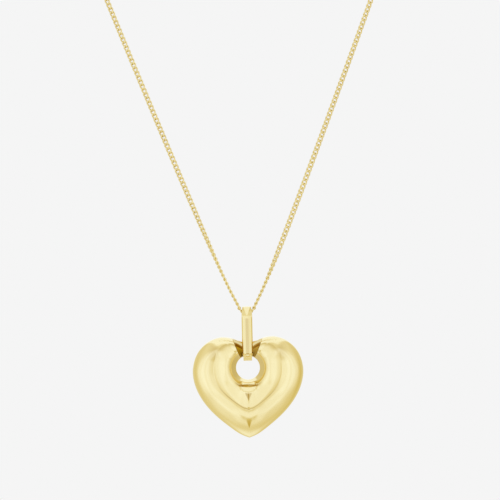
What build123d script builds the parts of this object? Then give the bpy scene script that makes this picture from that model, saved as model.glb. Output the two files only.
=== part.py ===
from build123d import *

import os
from math import hypot, pi, radians, sin, cos, sqrt, tan

# A puffed heart hangs from a long bail, and the bail from a fine chain that closes with a
# plain ring clasp at the nape. Millimetres, +Z up, the front of the heart towards -Y. The
# origin is the spot where the middle of the clasp lies on the nape.

# Heart
HEART_WIDTH = 22.12  # across the two lobes
TIP_DROP = 13.99  # from the centre of the hole down to the tip
LOBE_RISE = 6.23  # from the centre of the hole up to the top of the lobes
THROAT_RADIUS = 2.38  # the hole where it is narrowest, on the middle plane
FRONT_RIM_RADIUS = 3.92  # where the sloping wall of the hole meets the front
FRONT_RIM_DEPTH = 2.75  # how far that rim stands in front of the middle plane
BACK_RIM_RADIUS = 3.0
BACK_RIM_DEPTH = 1.7
INNER_CROWN_DEPTH = 3.35  # top of the raised inner heart
CREASE_DEPTH = 2.05  # bottom of the step between the inner heart and the outer band
OUTER_CROWN_DEPTH = 2.75  # top of the outer band
BACK_CROWN_DEPTH = 2.3
BACK_EDGE_DEPTH = 1.3  # where the rounded edge runs into the back's dome
BACK_EDGE_ROUND = 0.9  # how far the rounded edge reaches in from the outline

# Bail
BAIL_LENGTH = 10.87
BAIL_WIDTH = 2.12
BAIL_DEPTH = 4.9  # from the front ridge to the back ridge
BAIL_LEG_WALL = 0.9  # a leg at its ridge
BAIL_TOP_WALL = 0.65
BAIL_FOOT_WALL = 0.65
ROOF_HEIGHT = 0.42  # how far a leg's ridge stands above its two edges
FACET_LENGTH = 2.06  # the sloping facet on each leg, down from the top
FACET_SET_BACK = 0.55  # how far that facet leans back over its length
TOP_ROUND = 0.9  # radius between each facet and the top
FOOT_SLOPE = 0.92  # height and depth of the slope under each leg
SLOT_TOP_RADIUS = 1.3  # inside corners, where the chain passes
SLOT_FOOT_RADIUS = 1.0  # inside corners, where the heart hangs

# Chain and clasp
CHAIN_DIAMETER = 0.9
CLASP_RING_RADIUS = 2.6  # centre line of the ring
CLASP_WIRE = 1.3
CLASP_EYE_DIAMETER = 1.1  # the two short ends that take the chain

# Clearances
SEAT_GAP = 0.08  # between the bail and what it holds
BAR_GAP = 0.1  # each side of the heart's bar between the legs
SWING = 11.0  # degrees that the heart may swing each way in the bail
GROOVE_FLARE = 22.0  # degrees that each side of the groove leans outwards

# Half of the heart, section by section round the hole, from the tip to the notch. A
# section stands on the plane through the hole's axis and its own edge point.
#   across: the edge point, as a share of half the heart's width
#   up: the edge point, as a share of TIP_DROP below the hole's centre, LOBE_RISE above it
#   rim: how much of the hole's sloping wall there is, as a share of its full reach
#   crease: its distance from the axis, as a share of the edge point's
#   inner, step, outer, back: depths of the inner crown, the crease, the outer crown and
#   the back, as shares of the named ones
SECTION_COLUMNS = ("across", "up", "rim", "crease", "inner", "step", "outer", "back")
HEART_SECTIONS = [
    (0.000, -1.000, 1.00, 0.589, 1.00, 1.00, 1.00, 1.00),
    (0.148, -0.952, 1.00, 0.594, 1.00, 1.00, 1.00, 1.00),
    (0.290, -0.878, 1.00, 0.597, 1.00, 1.00, 1.00, 1.00),
    (0.605, -0.672, 1.00, 0.603, 1.00, 1.00, 1.00, 1.00),
    (0.877, -0.399, 1.00, 0.615, 1.00, 1.00, 0.99, 1.00),
    (0.999, -0.080, 1.00, 0.618, 1.00, 1.00, 0.94, 1.00),
    (0.925, 0.455, 1.00, 0.645, 1.00, 1.00, 0.86, 1.00),
    (0.722, 0.838, 1.00, 0.735, 0.98, 0.97, 0.69, 0.96),
    (0.425, 0.998, 0.95, 0.785, 0.92, 0.90, 0.56, 0.88),
    (0.170, 0.886, 0.80, 0.810, 0.84, 0.86, 0.50, 0.80),
    (0.000, 0.730, 0.66, 0.840, 0.76, 0.82, 0.45, 0.76),
]

# The chain's route from the right end of the clasp to the bail, at the centre of the
# chain. The left side is its mirror image. The last point is the corner beside the bail,
# and a level run inside the bail joins the two corners.
ROUTE = [
    (4.4, 0.65, 0.0),
    (13.0, 0.0, -0.4),
    (28.8, -5.7, -2.4),
    (41.2, -17.4, -6.7),
    (47.2, -32.5, -12.8),
    (47.7, -48.6, -21.2),
    (45.4, -62.2, -33.2),
    (40.8, -70.8, -48.2),
    (34.6, -74.4, -65.4),
    (26.6, -75.0, -87.0),
    (13.9, -75.0, -119.6),
    (7.2, -75.0, -136.3),
    (3.75, -75.0, -144.6),
    (1.52, -75.0, -149.8),
]
SEAT_BEND = 0.75  # radius of the chain's bend at each side of the bail
ARC_SHARE = 0.45  # of the shorter run, which every other bend's arc takes up

# Places that follow from the sizes
seat_y, seat_z = ROUTE[-1][1:]
half_bail = BAIL_WIDTH / 2
bail_top = seat_z + CHAIN_DIAMETER / 2 + SEAT_GAP + BAIL_TOP_WALL
bail_foot = bail_top - BAIL_LENGTH
hole_z = bail_foot + BAIL_FOOT_WALL + SEAT_GAP - sqrt(THROAT_RADIUS**2 - half_bail**2)
slot_half_depth = BAIL_DEPTH / 2 - BAIL_LEG_WALL
bar_half_depth = slot_half_depth - BAR_GAP
side_view = Plane((0, seat_y, 0), x_dir=(0, 1, 0), z_dir=(1, 0, 0))
front_view = Plane((0, seat_y, hole_z), x_dir=(1, 0, 0), z_dir=(0, -1, 0))


def turn_at(before, corner, after):
    """Degrees that the route turns at a corner."""
    return (Vector(corner) - Vector(before)).get_angle(Vector(after) - Vector(corner))


def bend_radius(before, corner, after):
    """The radius of a corner's arc, which takes up its share of the shorter run."""
    shorter = min((Vector(corner) - Vector(p)).length for p in (before, after))
    return ARC_SHARE * shorter / tan(radians(turn_at(before, corner, after)) / 2)


def chain_solid():
    """The whole chain as one round tube: straight runs joined by arcs."""
    points = ROUTE + [(-x, y, z) for x, y, z in reversed(ROUTE)]
    corners = [points[i - 1 : i + 2] for i in range(1, len(points) - 1)]
    radii = [bend_radius(*corner) for corner in corners]
    seat = len(ROUTE) - 2
    radii[seat] = radii[seat + 1] = SEAT_BEND
    path = FilletPolyline(*points, radius=radii)
    start, towards = Vector(points[0]), Vector(points[1]) - Vector(points[0])
    tube = sweep(Plane(start, z_dir=towards) * Circle(CHAIN_DIAMETER / 2), path=path)
    section = pi * CHAIN_DIAMETER**2 / 4
    print("chain bends, mm:", [round(r, 2) for r in radii])
    print("chain turns, degrees:", [round(turn_at(*corner), 1) for corner in corners])
    print("chain runs, mm:", [round((Vector(a) - Vector(b)).length, 1)
                              for a, b in zip(points, points[1:])])
    print(f"chain length {path.length:.1f} mm")
    print(f"chain volume over section x length {tube.volume / (section * path.length):.4f}")
    return tube


def clasp_solid():
    """A plain ring with two short round ends, which the chain's ends meet."""
    end, beside = Vector(ROUTE[0]), Vector(ROUTE[1])
    middle = Vector(0, end.Y, end.Z)
    clasp = Plane(middle, z_dir=(0, 1, 0)) * Torus(CLASP_RING_RADIUS, CLASP_WIRE / 2)
    eye_length = end.X - CLASP_RING_RADIUS
    eye = extrude(Plane(end, z_dir=end - beside) * Circle(CLASP_EYE_DIAMETER / 2), eye_length)
    return clasp + eye + mirror(eye, about=Plane.YZ)


def bail_solid():
    """A long closed bail: a slotted loop whose two legs have a roof-shaped face."""
    half = BAIL_DEPTH / 2
    front_side = [
        (half - FOOT_SLOPE, bail_foot),
        (half, bail_foot + FOOT_SLOPE),
        (half, bail_top - FACET_LENGTH),
        (half - FACET_SET_BACK, bail_top),
    ]
    outline = front_side + [(-y, z) for y, z in reversed(front_side)]
    loop = make_face(Polyline(*outline, close=True))
    loop = fillet(loop.vertices().sort_by(Axis.Y)[-2:], TOP_ROUND)
    slot_foot, slot_top = bail_foot + BAIL_FOOT_WALL, bail_top - BAIL_TOP_WALL
    slot = Pos(0, (slot_foot + slot_top) / 2) * Rectangle(
        2 * slot_half_depth, slot_top - slot_foot
    )
    slot = fillet(slot.vertices().sort_by(Axis.Y)[-2:], SLOT_TOP_RADIUS)
    slot = fillet(slot.vertices().sort_by(Axis.Y)[:2], SLOT_FOOT_RADIUS)
    bail = extrude(side_view * (loop - slot), half_bail, both=True)
    eaves = half - ROOF_HEIGHT
    roof = Polyline(
        (-half_bail, -eaves), (0, -half), (half_bail, -eaves),
        (half_bail, eaves), (0, half), (-half_bail, eaves), close=True,
    )
    prism = extrude(Plane((0, seat_y, bail_foot)) * make_face(roof), BAIL_LENGTH)
    return bail & prism


def heart_section(row):
    """One section of half the heart: five arcs and lines round a closed wire."""
    share = dict(zip(SECTION_COLUMNS, row))
    x = share["across"] * HEART_WIDTH / 2
    z = share["up"] * (LOBE_RISE if share["up"] > 0 else TIP_DROP)
    edge = hypot(x, z)
    crease = share["crease"] * edge
    front_rim = THROAT_RADIUS + share["rim"] * (FRONT_RIM_RADIUS - THROAT_RADIUS)
    back_rim = THROAT_RADIUS + share["rim"] * (BACK_RIM_RADIUS - THROAT_RADIUS)
    back_edge = edge - share["rim"] * BACK_EDGE_ROUND

    def at(reach, depth):
        """The point at this reach from the hole's axis, this far towards the front."""
        return Vector(reach * x / edge, seat_y - depth, hole_z + reach * z / edge)

    throat = at(THROAT_RADIUS, 0)
    rim = at(front_rim, share["rim"] * FRONT_RIM_DEPTH)
    inner_crown = at((front_rim + crease) / 2, share["inner"] * INNER_CROWN_DEPTH)
    step = at(crease, share["step"] * CREASE_DEPTH)
    outer_crown = at((crease + edge) / 2, share["outer"] * OUTER_CROWN_DEPTH)
    outline = at(edge, 0)
    round_edge = at(edge - 0.25 * (edge - back_edge), -0.6 * share["back"] * BACK_EDGE_DEPTH)
    shoulder = at(back_edge, -share["back"] * BACK_EDGE_DEPTH)
    back_crown = at((back_edge + back_rim) / 2, -share["back"] * BACK_CROWN_DEPTH)
    back = at(back_rim, -share["rim"] * BACK_RIM_DEPTH)
    return Wire([
        Line(throat, rim),
        ThreePointArc(rim, inner_crown, step),
        ThreePointArc(step, outer_crown, outline),
        ThreePointArc(outline, round_edge, shoulder),
        ThreePointArc(shoulder, back_crown, back),
        Line(back, throat),
    ])


def bail_groove(side):
    """What the bail's leg leaves open in the heart, in front (1) or behind (-1)."""
    foot = THROAT_RADIUS / 2
    reach = LOBE_RISE + SEAT_GAP
    lean = tan(radians(GROOVE_FLARE))
    beside_leg = (half_bail + SEAT_GAP + THROAT_RADIUS * sin(radians(SWING))) / cos(radians(SWING))
    foot_half = beside_leg - (THROAT_RADIUS - foot) * lean
    top_half = beside_leg + (reach - THROAT_RADIUS) * lean
    wedge = Polyline(
        (-foot_half, foot), (foot_half, foot), (top_half, reach), (-top_half, reach), close=True
    )
    cut = extrude(front_view * make_face(wedge), side * BAIL_DEPTH)
    return Pos(0, -side * bar_half_depth, 0) * cut


def heart_solid():
    """The puffed heart: two lofted halves joined, less the two grooves for the bail."""
    half = Solid.make_loft([heart_section(row) for row in HEART_SECTIONS])
    heart = Part(half.wrapped) + mirror(Part(half.wrapped), about=Plane.YZ)
    return heart - bail_groove(1) - bail_groove(-1)


pieces = {
    "heart": heart_solid(),
    "bail": bail_solid(),
    "chain": chain_solid(),
    "clasp": clasp_solid(),
}

os.makedirs("parts", exist_ok=True)
for name, piece in pieces.items():
    export_step(piece, f"parts/{name}.step")
    print(f"{name}: {len(piece.solids())} solid, {piece.volume:.2f} mm3")
print(f"bail from {bail_foot:.2f} to {bail_top:.2f}, hole's centre at {hole_z:.2f}")
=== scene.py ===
# %% [markdown]
# # A puffed heart on a fine curb chain
# The necklace has four pieces. A puffed gold heart has a round hole near its top, a long
# bail goes through the hole, a curb chain goes through the bail, and a ring clasp closes the
# chain at the nape. The exact solids are loaded first, and they stay where they are. Every
# shape below is worked out in millimetres in the same frame and turned into metres when its
# mesh is made, so nothing has to be fitted by eye.

from math import cos, pi, radians, sin, tan

import bpy
import numpy as np
from mathutils import Matrix, Vector


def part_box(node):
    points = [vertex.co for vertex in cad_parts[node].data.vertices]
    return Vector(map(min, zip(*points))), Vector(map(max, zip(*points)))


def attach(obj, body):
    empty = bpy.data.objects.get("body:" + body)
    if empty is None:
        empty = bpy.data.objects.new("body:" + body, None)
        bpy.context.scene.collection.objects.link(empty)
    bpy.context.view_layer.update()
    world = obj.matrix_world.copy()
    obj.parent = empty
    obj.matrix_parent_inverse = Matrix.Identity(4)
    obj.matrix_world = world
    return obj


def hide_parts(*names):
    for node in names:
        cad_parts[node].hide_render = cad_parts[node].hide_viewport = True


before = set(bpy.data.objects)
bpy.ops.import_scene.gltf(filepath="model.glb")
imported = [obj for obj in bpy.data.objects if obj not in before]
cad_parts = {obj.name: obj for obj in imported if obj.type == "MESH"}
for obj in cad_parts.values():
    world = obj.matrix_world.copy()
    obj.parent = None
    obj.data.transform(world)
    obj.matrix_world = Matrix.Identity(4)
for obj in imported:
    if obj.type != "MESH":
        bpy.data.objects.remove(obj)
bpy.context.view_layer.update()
MM = 0.001
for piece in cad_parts:
    low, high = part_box(piece)
    print(piece, "measures", [round((b - a) / MM, 2) for a, b in zip(low, high)], "mm")

# %% [markdown]
# ## Where things hang
# The heart and the bail hang in one upright plane. The chain crosses the bail at the seat, and
# the hole's middle is the point that the heart is measured from, as a jeweller measures a
# pierced heart from its hole. Depths count towards the front of the heart, which is -Y.

# %% Places
SEAT_Y, SEAT_Z = -75.0, -149.8
HOLE_Z = -160.891


def in_frame(across, depth, up):
    """Points in metres from millimetres across, towards the front, and up."""
    across, depth, up = np.broadcast_arrays(across, depth, up)
    return np.stack([across, SEAT_Y - depth, up], axis=-1) * MM


print("the hole's middle is", round(SEAT_Z - HOLE_Z, 2), "mm under the chain")

# %% [markdown]
# ## Polished gold
# The real finish is pale yellow gold plate over silver, polished until it mirrors the studio.
# A mirror shows its surroundings, so the colour comes mostly from the light tent. The material
# adds what the hand of a polisher leaves: patches that are a shade warmer, a haze that comes and
# goes, and ripples too fine to see one by one. On the heart and the bail it also mixes in painted
# shade, darker and warmer, from masks on the vertices. That wear is used by four materials, so
# it is a node group with named sockets, and each material sets its own values.

# %% Helpers for nodes


def fill(tree, node, inputs):
    """Gives a node its inputs, which are numbers, colours or other nodes' outputs."""
    for name, value in inputs.items():
        if isinstance(value, bpy.types.NodeSocket):
            tree.links.new(value, node.inputs[name])
        else:
            node.inputs[name].default_value = value
    return node


def add(tree, kind, inputs=None, **settings):
    """A new node with its settings and its inputs in place."""
    node = tree.nodes.new(kind)
    for name, value in settings.items():
        setattr(node, name, value)
    return fill(tree, node, inputs or {})


def maths(tree, operation, *values):
    """The result of a maths node."""
    return add(tree, "ShaderNodeMath", dict(enumerate(values)), operation=operation).outputs[0]


print("made the helpers fill, add and maths")

# %% A node group for the polisher's marks and for painted shade
# Warm gold is the tone of the warm patches and also the colour of painted shade
PALE_GOLD, WARM_GOLD_AND_SHADE = (0.93, 0.79, 0.42, 1), (0.42, 0.22, 0.008, 1)
# The colour that painted shadow darkens the gold towards
PAINTED_SHADOW_COLOUR = (0.05, 0.015, 0.002, 1)
PATCH_DETAIL, PATCH_FROM, PATCH_FULL, PATCH_STRENGTH = 3, 0.42, 0.75, 0.05
MARKS_A_METRE, MARKS_DETAIL = 2600, 4


def polish_group():
    """Puts out the gold's colour, its roughness and a ripple for a bump."""
    group = bpy.data.node_groups.new("Polished gold surface", "ShaderNodeTree")
    new = group.interface.new_socket
    for name, kind, start in (
        ("Gold", "Color", PALE_GOLD), ("Warm gold and painted shade", "Color", WARM_GOLD_AND_SHADE),
        ("Painted shade", "Float", 0.0), ("Shade", "Float", 0.0),
        ("Patches a metre", "Float", 250.0), ("Shine", "Float", 0.10), ("Haze", "Float", 0.05),
    ):
        new(name, in_out="INPUT", socket_type="NodeSocket" + kind).default_value = start
    for name, kind in (("Colour", "Color"), ("Roughness", "Float"), ("Ripple", "Float")):
        new(name, in_out="OUTPUT", socket_type="NodeSocket" + kind)
    given = add(group, "NodeGroupInput").outputs
    place = add(group, "ShaderNodeTexCoord").outputs["Object"]
    patches = add(group, "ShaderNodeTexNoise", {
        "Vector": place, "Scale": given["Patches a metre"], "Detail": PATCH_DETAIL,
    })
    marks = add(group, "ShaderNodeTexNoise", {
        "Vector": place, "Scale": MARKS_A_METRE, "Detail": MARKS_DETAIL,
    })
    # Warm patches, and painted shade from the vertex masks
    patch = add(group, "ShaderNodeMapRange", {
        "Value": patches.outputs["Fac"], "From Min": PATCH_FROM, "From Max": PATCH_FULL,
        "To Max": PATCH_STRENGTH,
    }, clamp=True)
    warmth_and_shade = maths(group, "MAXIMUM", patch.outputs["Result"], given["Painted shade"])
    colour = add(group, "ShaderNodeMix", {
        "Factor": warmth_and_shade, "A": given["Gold"], "B": given["Warm gold and painted shade"],
    }, data_type="RGBA")
    # Painted shadow: the Shade mask darkens the colour towards a near black brown
    shaded = add(group, "ShaderNodeMix", {
        "Factor": given["Shade"], "A": colour.outputs["Result"], "B": PAINTED_SHADOW_COLOUR,
    }, data_type="RGBA")
    # Haze: the shine plus a share of the fine marks
    haze = maths(group, "MULTIPLY_ADD", marks.outputs["Fac"], given["Haze"], given["Shine"])
    add(group, "NodeGroupOutput", {
        "Colour": shaded.outputs["Result"], "Roughness": haze, "Ripple": marks.outputs["Fac"],
    })
    return group


polish = polish_group()
print(polish.name, "has", len(polish.nodes), "nodes")

# %% The four gold materials
RIPPLE_STRENGTH, RIPPLE_DEPTH = 0.02, 0.01 * MM


def gold(name, masks=(), **values):
    """A polished gold material. The masks pair a socket with a vertex attribute of painted shade."""
    material = bpy.data.materials.new(name)
    material.use_nodes = True
    tree = material.node_tree
    inputs = {socket.replace("_", " ").capitalize(): value for socket, value in values.items()}
    for socket, attribute in masks:
        mask = add(tree, "ShaderNodeAttribute", attribute_name=attribute)
        inputs[socket] = mask.outputs["Fac"]
    surface = add(tree, "ShaderNodeGroup", inputs, node_tree=polish)
    bump = add(tree, "ShaderNodeBump", {
        "Strength": RIPPLE_STRENGTH, "Distance": RIPPLE_DEPTH, "Height": surface.outputs["Ripple"],
    })
    fill(tree, tree.nodes["Principled BSDF"], {
        "Metallic": 1.0, "Base Color": surface.outputs["Colour"],
        "Roughness": surface.outputs["Roughness"], "Normal": bump.outputs["Normal"],
    })
    return material


# The heart's and the bail's gold take painted shade from their vertex attributes
heart_gold = gold(
    "Heart gold", masks=(("Painted shade", "painted_shade"), ("Shade", "deep")), shine=0.06, haze=0.05,
)
bail_gold = gold(
    "Bail gold", masks=(("Painted shade", "painted_shade"),), patches_a_metre=400.0, shine=0.05, haze=0.04,
)
chain_gold = gold("Chain gold", patches_a_metre=120.0, shine=0.20, haze=0.10)
clasp_gold = gold("Clasp gold", patches_a_metre=300.0, shine=0.16, haze=0.08)
print("made", [m.name for m in (heart_gold, bail_gold, chain_gold, clasp_gold)])

# %% [markdown]
# ## The heart
# The real heart is die struck: two thin domed halves soldered at the edge. An engraved crease
# sets a small heart apart inside the large one, and a funnel leads into the hole. Sculpting
# could give that, and so could a subdivided cage, but a mirror finish shows every lump. The
# surface follows a rule instead. A mirror shows slopes, not heights, so the tables below hold
# the slope of the metal at set distances from the edge, from the crease and from the hole, and
# the heights are summed from them. The distances are measured square to the two curves, and
# that is what makes the fine ridge that runs down the middle to the tip.

# %% Ways to read a table


def smooth_through(stops, values, at):
    """Reads a natural cubic spline through the stops at other places."""
    stops, values, at = (np.asarray(v, float) for v in (stops, values, at))
    gap, last = np.diff(stops), len(stops) - 1
    slope = np.diff(values) / gap
    system, pull = np.eye(last + 1), np.zeros(last + 1)
    for i in range(1, last):
        system[i, i - 1 : i + 2] = gap[i - 1], 2 * (gap[i - 1] + gap[i]), gap[i]
        pull[i] = 6 * (slope[i] - slope[i - 1])
    bend = np.linalg.solve(system, pull)
    k = np.clip(np.searchsorted(stops, at) - 1, 0, last - 1)
    to_go, gone = stops[k + 1] - at, at - stops[k]
    return (
        (bend[k] * to_go**3 + bend[k + 1] * gone**3) / (6 * gap[k])
        + (values[k] / gap[k] - bend[k] * gap[k] / 6) * to_go
        + (values[k + 1] / gap[k] - bend[k + 1] * gap[k] / 6) * gone
    )


def eased(stops, values, at):
    """Reads a smooth curve through the stops that never goes past them."""
    stops, values = np.asarray(stops, float), np.asarray(values, float)
    gap = np.diff(stops)
    slope = np.diff(values) / gap
    tangent = np.zeros(len(values))
    product = slope[:-1] * slope[1:]
    turning = product > 0
    tangent[1:-1][turning] = 2 * product[turning] / (slope[:-1] + slope[1:])[turning]
    at = np.clip(at, stops[0], stops[-1])
    k = np.clip(np.searchsorted(stops, at) - 1, 0, len(gap) - 1)
    t = (at - stops[k]) / gap[k]
    return (
        values[k] * (1 + 2 * t) * (1 - t) ** 2 + values[k + 1] * t * t * (3 - 2 * t)
        + gap[k] * (tangent[k] * t * (1 - t) ** 2 - tangent[k + 1] * t * t * (1 - t))
    )


def rising(amount, over):
    """Goes evenly from 0, where the amount is nothing, to 1, where it is this much."""
    return np.clip(amount / over, 0, 1)


def soft(share):
    """A share from 0 to 1 that starts and ends gently."""
    return share**2 * (3 - 2 * share)


def between(stops, value):
    """Goes from 0 to 1 over the first two stops, and back to 0 over the last two."""
    return np.interp(value, stops, (0, 1, 1, 0))


print("halfway up, eased gives", float(eased((0, 1), (0, 10), 0.5)), "and soft", soft(0.5))

# %% The heart's two curves
THROAT = 2.38
CURVES = np.array([
    # angle from the tip, edge from the hole's middle, crease as a share of that
    (0.0, 13.99, 0.589), (7.0, 13.42, 0.594), (14.6, 12.70, 0.597), (35.4, 11.54, 0.603),
    (60.1, 11.19, 0.615), (84.2, 11.11, 0.618), (105.5, 10.58, 0.645), (123.2, 9.55, 0.745),
    (142.9, 7.79, 0.815), (161.2, 5.84, 0.835), (180.0, 4.55, 0.850),
])
SPACING = (
    # angle from, angle to, number of profiles: closest at the tip and beside the groove
    (0, 8, 41), (8, 140, 201), (140, 160, 61), (160, 180, 31),
)
angles = np.unique(np.concatenate([np.linspace(*row) for row in SPACING]))
edge = smooth_through(CURVES[:, 0], CURVES[:, 1], angles)
crease = edge * eased(CURVES[:, 0], CURVES[:, 2], angles)
half_width = np.max(edge * np.sin(np.radians(angles)))
print(len(angles), "profiles from tip to notch; widest", round(2 * half_width, 2), "mm")

# %% Slopes of the metal
# Every row starts with its angle from the tip. The other columns are slopes in degrees, one at
# each of the distances in millimetres over the table.
FROM_EDGE = (0.35, 0.6, 0.9, 1.3, 1.7, 2.2, 3.0, 4.2)
DOME = (
    (0, 52, 41, 33, 28, 23, 16, 10, 2), (12, 55, 44, 33, 23, 19, 13, 10, 0),
    (25, 59, 47, 32, 22, 19, 17, 5, 0), (45, 61, 48, 35, 27, 21, 14, 3, 0),
    (65, 65, 53, 42, 31, 19, 10, 0, 0), (85, 65, 51, 39, 28, 12, 9, 0, 0),
    (100, 67, 55, 45, 35, 22, 10, 2, 2), (110, 66, 56, 47, 38, 28, 17, 7, 8),
    (117, 65, 54, 47, 40, 31, 23, 16, 16), (123, 62, 51, 45, 40, 32, 29, 26, 25),
    (130, 63, 52, 45, 40, 31, 31, 31, 30), (140, 65, 56, 47, 40, 34, 32, 33, 33),
    (155, 68, 61, 51, 42, 36, 34, 35, 35), (180, 70, 68, 57, 46, 39, 36, 35, 36),
)
FROM_CREASE = (0.0, 0.25, 0.6, 1.0, 1.5, 2.1)
OUTER_SIDE = (
    (0, 37, 26, 14, 5, 0, 0), (12, 37, 25, 14, 8, 3, 0), (25, 38, 23, 11, 9, 9, 0),
    (45, 38, 26, 14, 7, 6, 0), (65, 35, 31, 21, 13, 9, 0), (85, 32, 32, 25, 15, 10, 0),
    (100, 29, 26, 20, 14, 8, 0), (110, 24, 22, 16, 10, 5, 0), (117, 16, 16, 11, 7, 3, 0),
    (123, 8, 8, 6, 3, 3, 0), (130, 3, 3, 2, 1, 1, 0), (140, 0, 0, 0, 0, 0, 0),
    (155, 0, 0, 0, 0, 0, 0), (180, 0, 0, 0, 0, 0, 0),
)
INTO_SMALL_HEART = (0.0, 0.25, 0.6, 1.0, 1.5, 2.1, 2.8, 3.6)
INNER_SIDE = (
    (0, 33, 10, 1, 3, 5, 9, 14, 1), (12, 30, 9, 1, 3, 4, 6, 13, 0),
    (25, 32, 17, 6, 2, 2, 7, 5, 1), (45, 37, 28, 16, 6, 2, 1, 1, 1),
    (65, 38, 34, 25, 14, 6, 2, 1, 1), (85, 36, 34, 28, 16, 11, 10, 1, 0),
    (100, 33, 31, 23, 13, 10, 8, 0, -2), (110, 28, 24, 15, 6, 5, 4, -1, -1),
    (117, 25, 19, 11, 2, 1, -1, -1, 0), (123, 24, 18, 13, 5, 1, 1, 2, 0),
    (130, 26, 20, 16, 8, 4, 2, 0, 0), (140, 29, 23, 17, 9, 5, 2, 0, 0),
    (155, 33, 27, 19, 10, 4, 2, 0, 0), (180, 38, 31, 22, 11, 3, 0, -1, 0),
)
FROM_HOLE = (2.3, 2.6, 3.0, 3.3, 3.48, 3.6, 3.8, 3.95, 4.1, 4.3, 4.5, 5.0)
FUNNEL = (70, 66, 65, 62, 59, 42, 35, 26, 18, 10, 5, 0)
print("the slopes are given at", len(DOME), "angles")

# %% Heights summed from the slopes
# These two tables have an angle and millimetres: the height of the upright wall at the edge,
# and how much wider the funnel is at that angle.
WALL = (
    (0, 1.88), (12, 2.02), (25, 1.95), (45, 1.75), (65, 1.66), (85, 1.74), (100, 1.42),
    (110, 1.33), (117, 1.37), (123, 1.45), (130, 1.43), (140, 1.60), (155, 2.04), (180, 1.26),
)
WIDER = ((0, 0.45), (20, 0.45), (32, 0.1), (60, 0.0), (90, 0.0), (135, -0.06), (180, -0.06))
FINE = 0.02  # the step of every sum, in millimetres
PAST_FUNNEL = 7  # sums are taken out to here, past the last of the funnel's slopes


def heights(stations, slopes, reach):
    """Heights summed from slopes at these stations, on a fine grid out to this reach."""
    slope = np.tan(np.radians(eased(stations, slopes, np.arange(0, reach, FINE))))
    return np.concatenate([[0], np.cumsum((slope[1:] + slope[:-1]) / 2 * FINE)])


def read(sums, at):
    """Reads summed heights at these distances."""
    return np.interp(at, np.arange(len(sums)) * FINE, sums)


def at_angles(rows):
    """Each column of a table, read smoothly at every angle."""
    rows = np.array(rows, float)
    return np.stack([eased(rows[:, 0], c, angles) for c in rows[:, 1:].T], axis=1)


dome, wall, outer_side, inner_side, wider = (
    at_angles(t) for t in (DOME, WALL, OUTER_SIDE, INNER_SIDE, WIDER)
)
funnel = heights(FROM_HOLE, FUNNEL, PAST_FUNNEL)
print("the funnel is", round(float(funnel[-1] - read(funnel, THROAT)), 2), "mm deep")

# %% Distances to the two curves
NEAR_CURVE = 0.5  # closer to a curve than this, the two sides of the heart blend less


def curve_points(reach):
    """One side of a curve as points across and up."""
    turn = np.radians(angles)
    return np.stack([reach * np.sin(turn), -reach * np.cos(turn)], axis=1)


def distance(points, curve, meet):
    """How far each point is from a curve, square to it. The heart's two sides meet softly."""
    both = []
    for sign in (1, -1):
        # Every second point of the curve is close enough
        a = curve[::2] * (sign, 1)
        ahead = np.diff(a, axis=0)
        gone = points[:, None] - a[None, :-1]
        share = np.clip((gone * ahead).sum(-1) / (ahead**2).sum(-1), 0, 1)
        both.append(np.sqrt(((gone - share[..., None] * ahead) ** 2).sum(-1)).min(axis=1))
    near, far = np.minimum(*both), np.maximum(*both)
    h = np.clip(1 - (far - near) / meet, 0, 1)
    return near - h * h * meet / 4 * rising(near, NEAR_CURVE)


edge_curve, crease_curve = curve_points(edge), curve_points(crease)
print("each side of a curve has", len(edge_curve), "points")

# %% The height of the front
EDGE_WIDTH = FROM_EDGE[0]
PAST_DOME, PAST_CREASE = 9, 6  # sums are taken out to here, which is further than any point
# The heart's sides blend by the least, and by this much more inside a reach, over so far
LEAST_BLEND = 0.1
EDGE_BLEND, CREASE_BLEND = (0.5, 11.9, 1.5), (1.2, 6.7, 1.8)
WIDENS_FROM, WIDENS_OVER = 3.0, 0.6  # the reach where the funnel starts to be wider, over how far
BEHIND_MIDDLE = 0.1  # the funnel ends at most this far behind the middle plane
TINY = 1e-9
thinner = np.interp(angles, (120, 180), (1, 0.76))  # the heart gets thinner towards the notch


def blend(reach, more, inside, over):
    """How softly the heart's two sides meet at these reaches."""
    return LEAST_BLEND + more * rising(inside - reach, over)


def front(k, reach):
    """The front's height at angle number k, at these reaches from the hole's middle."""
    turn = radians(angles[k])
    points = np.stack([reach * sin(turn), -reach * cos(turn)], axis=1)
    from_edge = distance(points, edge_curve, blend(reach, *EDGE_BLEND))
    from_crease = distance(points, crease_curve, blend(reach, *CREASE_BLEND))
    # The large heart has an upright wall with the dome over it, which falls to the crease
    rise = tan(radians(dome[k][0])) * EDGE_WIDTH / wall[k][0]
    side = wall[k][0] * rising(from_edge, EDGE_WIDTH) ** rise
    sums = heights(FROM_EDGE, dome[k], PAST_DOME)
    top = side + np.maximum(read(sums, from_edge) - read(sums, EDGE_WIDTH), 0)
    fall = heights(FROM_CREASE, outer_side[k], FROM_CREASE[-1])
    outside = top - (fall[-1] - read(fall, from_crease))
    # The small heart climbs from the crease, and the funnel is sunk into it
    climb = heights(INTO_SMALL_HEART, inner_side[k], PAST_CREASE)
    low = outside[reach >= crease[k] - TINY][0]
    wider_by = wider[k][0] * rising(reach - WIDENS_FROM, WIDENS_OVER)
    drop = funnel[-1] - read(funnel, reach - wider_by)
    room = low + read(climb, crease[k] - THROAT) + BEHIND_MIDDLE * thinner[k]
    share = min(1, room / (funnel[-1] - read(funnel, THROAT)))
    inside = low + read(climb, from_crease) - drop * share
    return np.where(reach < crease[k], inside, outside)


middle_line = front(0, np.linspace(THROAT, edge[0]))
print("on its middle line the front is up to", round(float(middle_line.max()), 2), "mm high")

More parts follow.
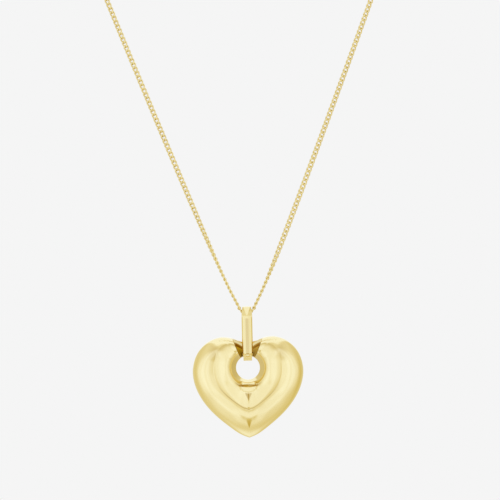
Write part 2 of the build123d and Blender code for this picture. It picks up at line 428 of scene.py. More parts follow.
# %% One profile round the metal
SAMPLES = 90
ROWS = ((0, 5), (1, 48), (2, 40), (3, 8), (4, 12), (5, 6))  # stretch of the profile, rows on it
RIM_IN, RIM_DEPTH = 0.62, 1.7  # the back's rim, from the throat and behind the middle plane
SHOULDER_IN, SHOULDER_DEPTH = 0.9, 1.3  # the back's shoulder, from the edge and behind the plane
SHOULDER_BEND = (0.25, 0.6)  # where its arc passes, as shares of those two
BACK_DEPTH = 2.3
CORNER = 0.04


def arc(a, b, c, count):
    """Points of the arc from a through b to c."""
    (ax, ay), (bx, by), (cx, cy) = a, b, c
    aa, bb, cc = ax**2 + ay**2, bx**2 + by**2, cx**2 + cy**2
    d = 2 * (ax * (by - cy) + bx * (cy - ay) + cx * (ay - by))
    mx = (aa * (by - cy) + bb * (cy - ay) + cc * (ay - by)) / d
    my = (aa * (cx - bx) + bb * (ax - cx) + cc * (bx - ax)) / d
    turn = np.unwrap([np.arctan2(y - my, x - mx) for x, y in (a, b, c)])
    t = np.linspace(turn[0], turn[2], count)
    radius = np.hypot(ax - mx, ay - my)
    return np.stack([mx + radius * np.cos(t), my + radius * np.sin(t)], axis=1)


def soften(points, width):
    """Rounds a closed profile. Returns a function that reads it, and where its points were."""
    steps = np.hypot(*np.diff(points, axis=0, append=points[:1]).T)
    along = np.concatenate([[0], np.cumsum(steps)])
    even = np.arange(0, along[-1], FINE)
    closed = np.vstack([points, points[:1]])
    line = np.stack([np.interp(even, along, closed[:, i]) for i in (0, 1)], axis=1)
    reach = np.arange(-4 * width, 4 * width + FINE, FINE)
    weight = np.exp(-0.5 * (reach / width) ** 2)
    weight /= weight.sum()
    half = len(reach) // 2
    padded = np.vstack([line[-half:], line, line[: len(reach) - half - 1]])
    smooth = np.stack([np.convolve(padded[:, i], weight, "valid") for i in (0, 1)], axis=1)
    smooth = np.vstack([smooth, smooth[:1]])
    even = np.append(even, along[-1])
    return lambda at: np.stack([np.interp(at, even, smooth[:, i]) for i in (0, 1)], axis=1), along


def profile(k):
    """The closed profile at angle number k, as reach from the hole's middle and depth."""
    near = np.linspace(THROAT, crease[k], SAMPLES)
    far = crease[k] + (edge[k] - crease[k]) * np.sin(np.linspace(0, pi / 2, SAMPLES))
    height = front(k, np.concatenate([near, far]))
    thin = thinner[k]
    back_rim = (THROAT + RIM_IN * thin, -RIM_DEPTH * thin)
    back_edge = edge[k] - SHOULDER_IN * thin
    shoulder = (back_edge, -SHOULDER_DEPTH * thin)
    in_share, depth_share = SHOULDER_BEND
    turn = (edge[k] - in_share * (edge[k] - back_edge), -depth_share * SHOULDER_DEPTH * thin)
    back = ((back_edge + back_rim[0]) / 2, -BACK_DEPTH * thin)
    stretches = [
        np.linspace((THROAT, 0.0), (THROAT, height[0]), SAMPLES),
        np.stack([near, height[:SAMPLES]], axis=1),
        np.stack([far, height[SAMPLES:]], axis=1),
        arc((edge[k], 0.0), turn, shoulder, SAMPLES),
        arc(shoulder, back, back_rim, SAMPLES),
        np.linspace(back_rim, (THROAT, 0.0), SAMPLES),
    ]
    place, along = soften(np.vstack([s[:-1] for s in stretches]), CORNER)
    ends = along[:: SAMPLES - 1]
    places = []
    for stretch, rows in ROWS:
        # Rows are closer together at both ends of a stretch
        t = np.linspace(0, 1, rows, endpoint=False)
        t = 0.5 * t + 0.5 * (1 - np.cos(pi * t)) / 2
        places.append(ends[stretch] + t * (ends[stretch + 1] - ends[stretch]))
    return place(np.concatenate(places))


print("a profile has", sum(rows for _, rows in ROWS), "points")

# %% All the profiles
# Over the lobes the slopes change quickly, so the profiles there are averaged with neighbours.
NEIGHBOURS, FADE = 12, 4
table = np.array([profile(k) for k in range(len(angles))])  # angle, row, reach and depth
blur = np.exp(-0.5 * (np.arange(-NEIGHBOURS, NEIGHBOURS + 1) / FADE) ** 2)
padded = np.pad(table, ((NEIGHBOURS, NEIGHBOURS), (0, 0), (0, 0)), mode="edge")
smoother = sum(w * padded[i : i + len(table)] for i, w in enumerate(blur / blur.sum()))
share = between((102, 112, 168, 176), angles)[:, None, None]
table = (1 - share) * table + share * smoother
print("the heart is", round(float(table[..., 1].max()), 2), "mm deep in front")

# %% [markdown]
# ## The groove and the facet
# The bail hangs in a groove over the hole, so that the heart doesn't stand away from it, and a
# flat facet slopes down to the hole where the small heart's two halves meet. Booleans could cut
# both, but they leave slivers, which show in a mirror. So the grid is bent until its lines
# follow the groove's wall, and then its depths are lowered.

# %% The grid bent along the groove's wall
# The line of the grid at the wall's angle ends up on the wall, and lines on both sides of it
# bend less and less. A point's reach changes as it moves, so the bend is worked out in rounds.
GROOVE_HALF_WIDTH, GROOVE_LEAN = 1.624, tan(radians(22))
WALL_ANGLE, BENT_FROM, ROUNDS = 150.0, 118, 4


def groove_wall(up):
    """How far from the middle the groove's wall stands at this height over the hole's middle."""
    return GROOVE_HALF_WIDTH + (up - THROAT) * GROOVE_LEAN


def wall_angle(reach):
    """The angle from the tip at which a circle round the hole meets the groove's wall."""
    foot, square = GROOVE_HALF_WIDTH - THROAT * GROOVE_LEAN, 1 + GROOVE_LEAN**2
    up = (-foot * GROOVE_LEAN + np.sqrt(np.maximum(reach**2 * square - foot**2, 0))) / square
    return 180 - np.degrees(np.arctan2(foot + GROOVE_LEAN * up, up))


def column(number, at):
    """Reach, number 0, or depth, number 1, of every row at these angles."""
    rows = range(at.shape[1])
    return np.stack([np.interp(at[:, r], angles, table[:, r, number]) for r in rows], axis=1)


sway = np.interp(angles, [BENT_FROM, WALL_ANGLE, 180], [0, 1, 0]) ** 1.5
at = np.repeat(angles[:, None], table.shape[1], axis=1)
for _ in range(ROUNDS):
    reach = column(0, at)
    at = angles[:, None] + sway[:, None] * (wall_angle(reach) - WALL_ANGLE)
depth = column(1, at)
across, up = reach * np.sin(np.radians(at)), -reach * np.cos(np.radians(at))
print("grid lines move by up to", round(float(np.abs(at - angles[:, None]).max()), 1), "degrees")

# %% What the facet and the groove take away
FACET_FOOT, FACET_TOP, FACET_TILT = -4.82, -3.2, tan(radians(30))
# The facet's half width at a height, how much it narrows a millimetre down, and its sides' slope
FACET_HALF_WIDTH, WIDTH_HEIGHT, NARROWS_BY, FACET_SIDE = 1.32, -4.0, 0.75, 2.5
SMALL_HEART_ROWS = slice(10, 50)
GROOVE_FLOOR, PIT_DEPTH, WALL_ROUNDING = 1.45, 0.35, 0.14
RIM_WIDTH, RIM_SLOPE, HOLE_RIM = 0.8, 1.1, 2.5  # metal that stays higher at the notch and hole
FACET_ROUNDING, FLOOR_ROUNDING = 0.03, 0.08
LEAST_DEPTH = 0.3  # metal closer to the middle plane than this isn't cut
NO_FACET, NO_GROOVE = 9, 3  # these put a limit in front of all the metal


def lower_of(a, b, rounding):
    """The lower of two depths with a rounded corner between them."""
    h = np.clip(0.5 + 0.5 * (b - a) / rounding, 0, 1)
    return b * (1 - h) + a * h - rounding * h * (1 - h)


foot_depth = float(np.interp(-FACET_FOOT, *table[0, SMALL_HEART_ROWS].T))
spread = FACET_HALF_WIDTH - (WIDTH_HEIGHT - up) * NARROWS_BY
facet = foot_depth - (up - FACET_FOOT) * FACET_TILT
facet += FACET_SIDE * np.clip(np.abs(across) - spread, 0, None)
facet[up > FACET_TOP] = NO_FACET
depth = np.where(depth > LEAST_DEPTH, lower_of(depth, facet, FACET_ROUNDING), depth)

from_wall, from_edge = groove_wall(up) - across, np.interp(at, angles, edge) - reach
in_groove = soft(np.clip(from_wall / WALL_ROUNDING + 0.5, 0, 1))
in_groove[up < 0] = 0
pit = in_groove * soft(rising(from_edge - RIM_WIDTH, RIM_SLOPE)) * (reach > HOLE_RIM)
limit = GROOVE_FLOOR - PIT_DEPTH * pit + (1 - in_groove) * NO_GROOVE
cut = np.where(depth > LEAST_DEPTH, lower_of(depth, limit, FLOOR_ROUNDING), depth)
cut = np.where(depth < -LEAST_DEPTH, -lower_of(-depth, limit, FLOOR_ROUNDING), cut)
print("the groove takes away up to", round(float(np.max(depth - cut)), 2), "mm")

# %% The heart's mesh


def ring_mesh(name, points, material):
    """A smooth mesh over a grid of points that closes on itself both ways, faces outwards."""
    rows, columns = points.shape[:2]
    index = np.arange(rows * columns).reshape(rows, columns)
    right, down = np.roll(index, -1, axis=1), np.roll(index, -1, axis=0)
    faces = np.stack([index, right, np.roll(down, -1, axis=1), down], axis=-1).reshape(-1, 4)
    flat = points.reshape(-1, 3)
    a, b, c, d = (flat[faces[:, i]] for i in range(4))
    volume = sum(np.einsum("ij,ij->", a, np.cross(*pair)) for pair in ((b, c), (c, d)))
    if volume < 0:
        faces = faces[:, ::-1]
    mesh = bpy.data.meshes.new(name)
    mesh.from_pydata(flat.tolist(), [], faces.tolist())
    mesh.shade_smooth()
    mesh.materials.append(material)
    piece = bpy.data.objects.new(name, mesh)
    bpy.context.scene.collection.objects.link(piece)
    print(name, "has", 2 * len(faces), "triangles and", round(abs(volume) / 6 / MM**3, 1), "mm3")
    return piece


half = in_frame(across, cut, HOLE_Z + up)
other = in_frame(-across, cut, HOLE_Z + up)[-2:0:-1]
heart = ring_mesh("heart_polished", np.concatenate([half, other]), heart_gold)

# %% [markdown]
# ## Painted shade on the heart
# The gold is painted warmer and darker along the crease, at the funnel's lip and wall, on the
# tail, on the small heart's shoulders and the valley outside them, and in the groove and its
# pit. This is painted shade, which stands in for the dark reflections in these places. Painting
# a texture by hand would do, but the grid already knows how far every point is from the crease
# and from the hole. So each shade is a formula over the grid, stored on the vertices, and it
# stays with the metal in every view.

# %% The crease and the funnel
# A table here has angles from the tip, and a strength or millimetres at each of them
CREASE_HALF_WIDTH, CREASE_STRENGTH = 0.07, ((35, 75), (0.75, 0))
LIP_REACH = ((0, 12, 25, 180), (3.47, 3.55, 3.84, 3.84))
LIP_HALF_WIDTH, LIP_STRENGTH = ((20, 40), (0.24, 0.1)), ((20, 45), (1, 0.12))
FUNNEL_REACH, FUNNEL_FADE, FUNNEL_STRENGTH = 3.4, 0.2, ((20, 60), (0, 0.28))
# Painted shade: a dark line along the lower part of the crease, gone by 75 degrees
inward = np.interp(at, angles, crease) - reach
crease_line = np.exp(-((inward / CREASE_HALF_WIDTH) ** 2)) * np.interp(at, *CREASE_STRENGTH)
# The funnel's lip gets a broad painted dark line under the hole and a faint one beside it
from_lip = (reach - np.interp(at, *LIP_REACH)) / np.interp(at, *LIP_HALF_WIDTH)
lip_line = np.exp(-(from_lip**4)) * np.interp(at, *LIP_STRENGTH)
# Painted shade on the funnel's wall, none under the hole and most at its sides and top
funnel_wall = rising(FUNNEL_REACH - reach, FUNNEL_FADE) * np.interp(at, *FUNNEL_STRENGTH)
print("the funnel's lip has a shade of up to", round(float(lip_line.max()), 2))

# %% The tail and the lobes
# The tail is a wedge of painted shade that runs down the small heart from the facet's foot
TAIL_TOP, TAIL_LENGTH, TAIL_HALF_WIDTH, TAIL_STRENGTH = -4.95, 1.8, 0.8, 0.55
TAIL_START, TOP_FADE, SIDE_FADE = -4.9, 0.12, 0.2
tail_width = TAIL_HALF_WIDTH * (1 + (up - TAIL_TOP) / TAIL_LENGTH)
tail = TAIL_STRENGTH * rising(tail_width - np.abs(across), SIDE_FADE)
tail *= rising(TAIL_START - up, TOP_FADE) * (up > TAIL_TOP - TAIL_LENGTH)
# Painted shade on the small heart's shoulders, which fall away from the crease, and in a
# valley outside them
SHOULDER_STRENGTH, SHOULDER_ANGLES = 0.28, (106, 120, 150, 160)
SHOULDER_FROM, SHOULDER_FULL, SHOULDER_FADE = 0.05, 0.25, 0.55
VALLEY_STRENGTH, VALLEY_ANGLES, VALLEY_INWARD = 0.24, (98, 112, 122, 128), (-2.0, -0.6, 0, 0.5)
shoulder = SHOULDER_STRENGTH * rising(inward - SHOULDER_FROM, SHOULDER_FULL - SHOULDER_FROM)
shoulder *= np.exp(-np.clip(inward - SHOULDER_FULL, 0, None) / SHOULDER_FADE)
shoulder *= between(SHOULDER_ANGLES, at)
valley = VALLEY_STRENGTH * between(VALLEY_INWARD, inward) * between(VALLEY_ANGLES, at)
print("the tail is", TAIL_LENGTH, "mm long")

# %% The groove, and all the shades together
# Painted shade in the groove: darker inside than on its rim, and darkest in its pit beside the bail
GROOVE_STRENGTH, PIT_STRENGTH, PIT_FROM_EDGE, PIT_FADE = 0.3, 0.8, 1.15, 0.6
DEEP_STRENGTH, DEEP_WALL_FADE, DEEP_TOP, DEEP_TOP_FADE = 0.8, 0.5, 3.9, 1.1
in_pit = rising(from_edge - PIT_FROM_EDGE, PIT_FADE) * (reach > HOLE_RIM)
groove = (GROOVE_STRENGTH + PIT_STRENGTH * in_pit) * in_groove
shades = (crease_line, lip_line, funnel_wall, tail, shoulder, valley, groove)
# The strongest painted shade at each point, on the front of the heart only
painted_shade = np.max(shades, axis=0) * (depth > 0)
# Painted shadow in the groove's pit, strongest towards the middle and lower down
deep = DEEP_STRENGTH * pit * rising(from_wall, DEEP_WALL_FADE) * rising(DEEP_TOP - up, DEEP_TOP_FADE)
print(round(100 * float((painted_shade > 0.1).mean())), "percent of the points are in a hollow")

# %% The shades on the heart
# Painted shade and painted shadow are weaker on the right side of the heart
RIGHT_HOLLOW, RIGHT_DEEP = 0.85, 0.7  # the right side's hollows are a little paler


def store(piece, name, shares):
    """Gives every vertex of a piece its share, which the gold reads as an attribute."""
    layer = piece.data.attributes.new(name, "FLOAT", "POINT")
    layer.data.foreach_set("value", shares.ravel().astype(np.float32))


for name, shares, right_share in (("painted_shade", painted_shade, RIGHT_HOLLOW), ("deep", deep, RIGHT_DEEP)):
    store(heart, name, np.concatenate([right_share * shares, shares[-2:0:-1]]))
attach(heart, "heart")
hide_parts("heart")
print("the right side's hollows have", RIGHT_HOLLOW, "of the left side's shade")

# %% [markdown]
# ## The bail
# The bail is a long closed loop cut from a bar with a roof-shaped face. Its ridge runs up the
# middle of the leg, a flat facet slopes back at the top, and its wire thins under the foot. A
# boolean of two prisms would leave razor edges, which real polishing rounds. So the loop is a
# grid too: stations go round the loop, and each has one section across the wire, with small
# round corners that catch the light.

# %% The bail's corners
# One row for each corner round the front half of the loop, foot first. The back half mirrors
# the front.
BAIL = [
    # depth and height of the slot, eaves, break in the roof and ridge; half widths of the last 3
    ((0.90, -158.84), (1.00, -159.49), (1.00, -159.49), (1.00, -159.49), (0.83, 0.50, 0.28)),
    ((1.30, -158.84), (1.34, -159.36), (1.34, -159.38), (1.34, -159.38), (0.84, 0.50, 0.28)),
    ((1.52, -158.60), (1.58, -158.72), (1.58, -158.76), (1.58, -158.78), (0.85, 0.52, 0.28)),
    ((1.55, -158.20), (1.66, -158.60), (1.72, -158.68), (1.74, -158.70), (0.95, 0.55, 0.28)),
    ((1.55, -157.60), (1.80, -157.75), (2.02, -157.98), (2.20, -158.12), (1.06, 0.84, 0.33)),
    ((1.55, -150.90), (2.10, -150.75), (2.33, -150.95), (2.52, -151.10), (1.06, 0.84, 0.31)),
    ((1.45, -150.45), (2.04, -150.35), (2.30, -150.45), (2.49, -150.50), (1.05, 0.62, 0.08)),
    ((1.05, -149.80), (1.56, -149.70), (1.80, -149.70), (2.06, -149.70), (1.02, 0.66, 0.36)),
    ((0.66, -149.31), (1.28, -148.92), (1.42, -148.86), (1.56, -148.78), (0.88, 0.80, 0.69)),
    ((0.42, -149.18), (0.90, -148.64), (0.90, -148.62), (0.90, -148.62), (0.80, 0.70, 0.60)),
]
LOOP_CORNER, SECTION_CORNER, ARC_POINTS = 0.13, 0.05, 4
# The slot's half width as a share of the eaves', and how far towards the eaves its bevel ends
SLOT_SHARE, FOOT_SHARE = 0.8, 0.15


def rounded(corners, cut):
    """Closed loops of points whose corners give way to arcs that start this far from them."""
    corners = np.asarray(corners, float)
    ends = []
    for turn in (1, -1):
        to = np.roll(corners, turn, axis=-2) - corners
        length = np.maximum(np.linalg.norm(to, axis=-1, keepdims=True), TINY)
        # The arc's end, and a point just past it that keeps the face beside it flat. Neither
        # goes further than a share of the way to the next corner.
        for far, most in ((cut, 0.36), (1.3 * cut, 0.46)):
            ends.append(corners + to * np.minimum(far / length, most))
    start, hold, end, let_go = (e[..., None, :] for e in ends)
    t = np.linspace(0, 1, ARC_POINTS)[:, None]
    arcs = (1 - t) ** 2 * start + 2 * t * (1 - t) * corners[..., None, :] + t**2 * end
    points = np.concatenate([hold, arcs, let_go], axis=-2)
    return points.reshape(*points.shape[:-3], -1, 3)


def corner_line(column, width, share=1.0):
    """One corner of the section, all the way round the loop."""
    front = [(share * row[4][width], *row[column]) for row in BAIL]
    return rounded(front + [(x, -y, z) for x, y, z in reversed(front)], LOOP_CORNER)


inner, side_foot = corner_line(0, 0, SLOT_SHARE), corner_line(0, 0)
eaves, brow, ridge = corner_line(1, 0), corner_line(2, 1), corner_line(3, 2)
side_foot = side_foot + FOOT_SHARE * (eaves - side_foot)
print("each corner line has", len(ridge), "stations")

# %% The bail's mesh
# Painted shade along the bail's ridge: its strength, half width, least depth and the height it stays
# under
RIDGE_SHADE_STRENGTH, RIDGE_SHADE_HALF_WIDTH, RIDGE_SHADE_DEPTH, RIDGE_SHADE_TOP = 0.33, 0.35, 2.0, -150.9
right = [inner, side_foot, eaves, brow, ridge]
left = [line * (-1, 1, 1) for line in reversed(right)]
sections = rounded(np.stack(right + left, axis=1), SECTION_CORNER)
across_bail, depth_bail, up_bail = np.moveaxis(sections, -1, 0)
bail = ring_mesh("bail_polished", in_frame(across_bail, depth_bail, up_bail), bail_gold)
# Painted shade along the ridge of the leg, where the gold is mixed towards the warm dark colour
painted_ridge_shade = RIDGE_SHADE_STRENGTH * np.exp(-((across_bail / RIDGE_SHADE_HALF_WIDTH) ** 8))
painted_ridge_shade *= (depth_bail > RIDGE_SHADE_DEPTH) * rising(RIDGE_SHADE_TOP - up_bail, 0.2)
store(bail, "painted_shade", painted_ridge_shade)
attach(bail, "bail")
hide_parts("bail")

# %% [markdown]
# ## The chain
# A curb chain is made of twisted oval links that all lie flat. Each link passes through the
# next one. Modelling one link and copying it by hand along the whole loop would be slow and
# uneven, so Geometry Nodes does it: the tree bends a circle into a curb link, gives it a wire,
# and sets a copy at even steps along the route, each turned to the route's own direction and
# to the side that lies on the skin. The route is a smooth spline round the neck and down to
# the bail.

# %% The route round the neck
# The right strand in millimetres, from the clasp to the bail. The left one mirrors it.
ROUTE = [
    (4.4, 0.65, 0.0), (13.0, 0.0, -0.4), (28.8, -5.7, -2.4), (41.2, -17.4, -6.7),
    (47.2, -32.5, -12.8), (47.7, -48.6, -21.2), (45.4, -62.2, -33.2), (40.8, -70.8, -48.2),
    (34.6, -74.4, -65.4), (26.6, -75.0, -87.0), (13.9, -75.0, -119.6), (7.2, -75.0, -136.3),
    (3.75, -75.0, -144.4), (1.66, -75.0, -148.55), (1.22, -75.0, -149.45), (0.55, -75.0, -149.84),
]
points = ROUTE + [(-x, y, z) for x, y, z in reversed(ROUTE)]
route = bpy.data.curves.new("chain_route", "CURVE")
route.dimensions = "3D"
route.resolution_u = 24
spline = route.splines.new("NURBS")
spline.points.add(len(points) - 1)
for point, place in zip(spline.points, points):
    point.co = (*(MM * value for value in place), 1)
spline.order_u = 3
spline.use_endpoint_u = True
route_object = bpy.data.objects.new("chain_route", route)
bpy.context.scene.collection.objects.link(route_object)
bpy.context.view_layer.update()
track_mesh = bpy.data.meshes.new_from_object(route_object)
track = np.array([v.co for v in track_mesh.vertices]) / MM
bpy.data.objects.remove(route_object)
steps = np.linalg.norm(np.diff(track, axis=0), axis=1)
along = np.concatenate([[0], np.cumsum(steps)])
print("the route is", round(along[-1], 1), "mm long")

# %% Which way each link faces
# Beside the bail the links stand edge-on. Further up they lie flat on the skin.
NECK_Y = -37
TURNS_FROM, TURNS_OVER_RIGHT, TURNS_OVER_LEFT = 4, 18, 28


def unit(vectors):
    """Vectors of length 1 in the same directions."""
    return vectors / np.linalg.norm(vectors, axis=1, keepdims=True)


ahead = unit(np.gradient(track, along, axis=0))
skin = unit(np.stack([track[:, 0], track[:, 1] - NECK_Y, np.zeros(len(track))], axis=1))
edge_on = np.cross(ahead, (0.0, 1.0, 0.0))
from_bail = np.abs(along - along[-1] / 2)
over = np.where(track[:, 0] > 0, TURNS_OVER_RIGHT, TURNS_OVER_LEFT)
twist = soft(rising(from_bail - TURNS_FROM, over))[:, None]
face = (1 - twist) * edge_on + twist * skin
face = unit(face - np.sum(face * ahead, axis=1, keepdims=True) * ahead)
carrier = bpy.data.objects.new("curb_chain", track_mesh)
bpy.context.scene.collection.objects.link(carrier)
faces = track_mesh.attributes.new("face", "FLOAT_VECTOR", "POINT")
faces.data.foreach_set("vector", face.astype(np.float32).ravel())
print("links turn over", TURNS_OVER_RIGHT, "mm on the right and", TURNS_OVER_LEFT, "on the left")

# %% The link tree
LINK_SIDES, WIRE_SIDES = 14, 6


def link_tree():
    """Copies one curb link along a route. Its sizes are the tree's named inputs."""
    tree = bpy.data.node_groups.new("Curb links", "GeometryNodeTree")
    new = tree.interface.new_socket
    for name, kind in (
        ("Route", "Geometry"), ("Links", "Int"), ("Link length", "Float"),
        ("Link width", "Float"), ("Twist", "Float"), ("Wire", "Float"), ("Gold", "Material"),
    ):
        new(name, in_out="INPUT", socket_type="NodeSocket" + kind)
    new("Chain", in_out="OUTPUT", socket_type="NodeSocketGeometry")
    given = add(tree, "NodeGroupInput").outputs
    # One link: a circle of radius 1 stretched to an oval and twisted by the product x times y
    circle = add(tree, "GeometryNodeCurvePrimitiveCircle", {"Resolution": LINK_SIDES, "Radius": 1.0})
    here = add(tree, "GeometryNodeInputPosition").outputs[0]
    x, y, _ = add(tree, "ShaderNodeSeparateXYZ", {0: here}).outputs
    bent = add(tree, "ShaderNodeCombineXYZ", {
        "X": maths(tree, "MULTIPLY", x, given["Link length"]),
        "Y": maths(tree, "MULTIPLY", y, given["Link width"]),
        "Z": maths(tree, "MULTIPLY", maths(tree, "MULTIPLY", x, y), given["Twist"]),
    })
    oval = add(tree, "GeometryNodeSetPosition", {
        "Geometry": circle.outputs["Curve"], "Position": bent.outputs[0],
    })
    wire = add(tree, "GeometryNodeCurvePrimitiveCircle", {
        "Resolution": WIRE_SIDES, "Radius": given["Wire"],
    })
    body = add(tree, "GeometryNodeCurveToMesh", {
        "Curve": oval.outputs["Geometry"], "Profile Curve": wire.outputs["Curve"],
    })
    smooth = add(tree, "GeometryNodeSetShadeSmooth", {"Geometry": body.outputs["Mesh"]})
    # Even places along the route, and the turn of each link
    line = add(tree, "GeometryNodeMeshToCurve", {"Mesh": given["Route"]})
    places = add(tree, "GeometryNodeResampleCurve", {
        "Curve": line.outputs["Curve"], "Count": given["Links"],
    }, mode="COUNT")
    facing = add(
        tree, "GeometryNodeInputNamedAttribute", {"Name": "face"}, data_type="FLOAT_VECTOR",
    )
    turn = add(tree, "FunctionNodeAxesToRotation", {
        "Primary Axis": add(tree, "GeometryNodeInputTangent").outputs[0],
        "Secondary Axis": facing.outputs["Attribute"],
    }, primary_axis="X", secondary_axis="Z")
    copies = add(tree, "GeometryNodeInstanceOnPoints", {
        "Points": places.outputs["Curve"], "Instance": smooth.outputs["Geometry"],
        "Rotation": turn.outputs["Rotation"],
    })
    real = add(tree, "GeometryNodeRealizeInstances", {"Geometry": copies.outputs["Instances"]})
    dressed = add(tree, "GeometryNodeSetMaterial", {
        "Geometry": real.outputs["Geometry"], "Material": given["Gold"],
    })
    add(tree, "NodeGroupOutput", {"Chain": dressed.outputs["Geometry"]})
    return tree


links = link_tree()
print(links.name, "has", len(links.nodes), "nodes")

# %% The chain as one mesh


def grown(carrier, tree, values):
    """Runs a node tree on the carrier and leaves its result as a plain mesh."""
    modifier = carrier.modifiers.new(tree.name, "NODES")
    modifier.node_group = tree
    sockets = {
        item.name: item.identifier for item in tree.interface.items_tree
        if item.item_type == "SOCKET" and item.in_out == "INPUT"
    }
    for name, value in values.items():
        modifier[sockets[name]] = value
    bpy.context.view_layer.update()
    evaluated = carrier.evaluated_get(bpy.context.evaluated_depsgraph_get())
    mesh = bpy.data.meshes.new_from_object(evaluated)
    mesh.name = carrier.name
    carrier.modifiers.remove(modifier)
    carrier.data = mesh
    print(carrier.name, "has", sum(len(p.vertices) - 2 for p in mesh.polygons), "triangles")
    return carrier


PITCH = 0.918
chain = grown(carrier, links, {
    "Links": 2 * round(along[-1] / PITCH / 2), "Link length": 0.64 * MM, "Link width": 0.41 * MM,
    "Twist": 0.36 * MM, "Wire": 0.16 * MM, "Gold": chain_gold,
})
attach(chain, "neck_loop")
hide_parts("chain")

# %% [markdown]
# ## The clasp
# A plain ring clasp closes the loop at the nape. A new mesh could be spun for it, but the
# solid is already a smooth ring of round wire with two short ends, and a new one would show
# nothing more. So the solid keeps its mesh and takes the clasp's gold.

# %% The clasp's gold
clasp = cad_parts["clasp"]
clasp.data.materials.clear()
clasp.data.materials.append(clasp_gold)
print("the clasp has", len(clasp.data.polygons), "faces in", clasp_gold.name)

# %% [markdown]
# ## The studio
# A mirror finish needs something to mirror. The photograph was taken in a soft light tent: a
# broad bright box above with a definite edge, pale walls in front and at the sides, and dusk
# behind the piece. The world's shader paints that tent by direction, so every view of the
# necklace gets the same light. The backdrop that the camera itself sees is plain pale grey,
# and a pale disc lies below the heart for the views that look down on it.

# %% Shapes of light in the tent
world = bpy.data.worlds.new("Light tent")
bpy.context.scene.world = world
world.use_nodes = True
sky = world.node_tree
sky.nodes.clear()
direction = add(sky, "ShaderNodeTexCoord").outputs["Generated"]
east, away, above = add(sky, "ShaderNodeSeparateXYZ", {0: direction}).outputs


def ramped(label, value, start, end, light):
    """Goes smoothly from no light to this much as the value goes from start to end."""
    return add(sky, "ShaderNodeMapRange", {
        "Value": value, "From Min": start, "From Max": end, "To Min": 0.0, "To Max": light,
    }, interpolation_type="SMOOTHSTEP", label=label).outputs["Result"]


def patch(label, azimuth, elevation, full, gone, light):
    """A round patch, full inside one angle and gone past the other. Azimuth 0 is in front."""
    a, e = radians(azimuth), radians(elevation)
    middle = (sin(a) * cos(e), -cos(a) * cos(e), sin(e))
    agreement = add(sky, "ShaderNodeVectorMath", {0: direction, 1: middle}, operation="DOT_PRODUCT")
    cosine = agreement.outputs["Value"]
    return ramped(label, cosine, cos(radians(gone)), cos(radians(full)), light)


def oval(label, sides, full, gone, light):
    """An oval patch. A side has a part of the direction, its middle and its half size."""
    squares = [
        maths(sky, "POWER", maths(sky, "DIVIDE", maths(sky, "SUBTRACT", part, middle), half), 2.0)
        for part, middle, half in sides
    ]
    return ramped(label, maths(sky, "ADD", *squares), gone, full, light)


print("made the helpers ramped, patch and oval")

# %% The light tent
BASE_LIGHT = 0.538
PATCHES = (
    # name, azimuth and elevation in degrees, full inside, gone past, light added
    ("left lamp", -38, 0, 5, 45, 0.145),
    ("right lamp", 38, 2, 5, 45, 0.119),
    ("left wall", -62, 0, 5, 45, 0.040),
    ("right wall", 62, 0, 5, 45, 0.038),
    ("front wall", 0, 0, 5, 40, 0.128),
    ("pale floor", 0, -90, 5, 45, 0.198),
    ("back wall", 180, 20, 10, 70, 0.031),
    ("low right corner", 80, -30, 5, 60, -0.055),
    ("low left corner", -80, -30, 5, 60, 0.005),
    ("dusk behind, right", 125, 0, 10, 60, -0.103),
    ("dusk behind, left", -125, 0, 10, 60, -0.054),
    ("high right corner", 75, 45, 5, 50, 0.040),
    ("high left corner", -75, 45, 5, 50, 0.049),
)
STOPS = (
    # amount of light, its tone
    (0.10, (0.40, 0.26, 0.03)), (0.18, (0.546, 0.397, 0.071)), (0.30, (0.628, 0.509, 0.181)),
    (0.42, (0.730, 0.652, 0.350)), (0.54, (0.826, 0.790, 0.598)), (0.655, (0.937, 0.953, 0.921)),
    (0.773, (1.046, 1.124, 1.283)), (0.90, (1.12, 1.25, 1.65)),
)
box_above = oval("box above", ((east, -0.01, 0.44), (away, 0.35, 1.1)), 0.8, 1.2, 0.198)
low_dusk = oval("low dusk", ((east, 0.0, 0.15), (above, -0.42, 0.28)), 0.0, 1.0, -0.364)
is_above, is_in_front = maths(sky, "GREATER_THAN", above, 0.0), maths(sky, "LESS_THAN", away, 0.0)
lights = [patch(*row) for row in PATCHES]
lights.append(maths(sky, "MULTIPLY", is_above, box_above))
lights.append(maths(sky, "MULTIPLY", is_in_front, low_dusk))
total = BASE_LIGHT
for light in lights:
    total = maths(sky, "ADD", total, light)
tones = add(sky, "ShaderNodeValToRGB", {"Fac": total})
ramp = tones.color_ramp
ramp.elements[0].position, ramp.elements[1].position = STOPS[0][0], STOPS[-1][0]
for amount, _ in STOPS[1:-1]:
    ramp.elements.new(amount)
for element, (_, tone) in zip(ramp.elements, STOPS):
    element.color = (*tone, 1)
print("the tent has", len(lights), "lights and shades")

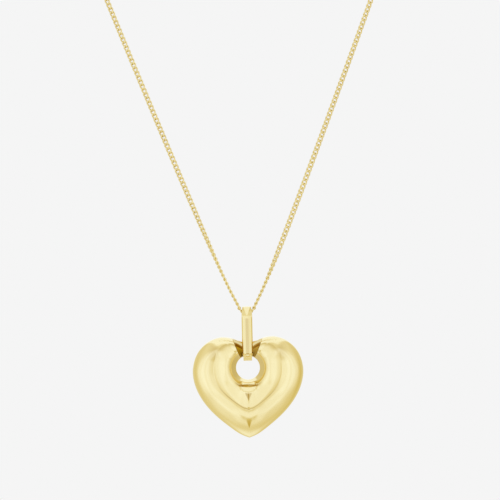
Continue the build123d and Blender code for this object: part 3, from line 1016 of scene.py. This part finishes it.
# %% The backdrop
BACKDROP = 0.9131
tent = add(sky, "ShaderNodeBackground", {"Color": tones.outputs["Color"]})
backdrop = add(sky, "ShaderNodeBackground", {"Color": (BACKDROP, BACKDROP, BACKDROP, 1)})
seen = add(sky, "ShaderNodeLightPath").outputs["Is Camera Ray"]
pick = add(sky, "ShaderNodeMixShader", {0: seen, 1: tent.outputs[0], 2: backdrop.outputs[0]})
add(sky, "ShaderNodeOutputWorld", {"Surface": pick.outputs[0]})
print("the world has", len(sky.nodes), "nodes")

# %% The floor
FLOOR_RADIUS, FLOOR_Z, FLOOR_SIDES = 150.0, -215.0, 128
FLOOR_TONE, FLOOR_ROUGHNESS = 0.85, 0.6
table_top = bpy.data.materials.new("Pale floor")
table_top.use_nodes = True
fill(table_top.node_tree, table_top.node_tree.nodes["Principled BSDF"], {
    "Base Color": (FLOOR_TONE, FLOOR_TONE, FLOOR_TONE, 1), "Roughness": FLOOR_ROUGHNESS,
})
turns = np.linspace(0, 2 * pi, FLOOR_SIDES, endpoint=False)
rim = [(FLOOR_RADIUS * cos(t), SEAT_Y + FLOOR_RADIUS * sin(t), FLOOR_Z) for t in turns]
disc = bpy.data.meshes.new("floor")
disc.from_pydata((np.array(rim) * MM).tolist(), [], [list(range(FLOOR_SIDES))])
disc.materials.append(table_top)
floor = bpy.data.objects.new("floor", disc)
bpy.context.scene.collection.objects.link(floor)
floor.visible_glossy = False  # the tent, not the floor, is what the gold mirrors
print("the floor is", 2 * FLOOR_RADIUS, "mm wide")

# %% [markdown]
# ## The camera
# A jewellery photograph is taken from far away with a long lens, so that the heart isn't
# distorted. The camera is level with the piece, straight in front, and tilted by a little more
# than a degree, as the necklace leans in the photograph.

# %% The camera
DISTANCE, WIDTH_SEEN = 650.0, 100.0
AIM_X, AIM_Z, TILT = 0.92, -137.4, 1.25
camera = bpy.data.objects.new("camera", bpy.data.cameras.new("camera"))
bpy.context.scene.collection.objects.link(camera)
camera.data.lens = camera.data.sensor_width * DISTANCE / WIDTH_SEEN
camera.data.clip_start, camera.data.clip_end = 0.01, 10
stand = Matrix.Translation(Vector((AIM_X, SEAT_Y - DISTANCE, AIM_Z)) * MM)
tilted = stand @ Matrix.Rotation(radians(TILT), 4, "Y")
camera.matrix_world = tilted @ Matrix.Rotation(radians(90), 4, "X")
bpy.context.scene.camera = camera
bpy.context.scene.view_settings.view_transform = "Standard"
print("the lens is", round(camera.data.lens), "mm")
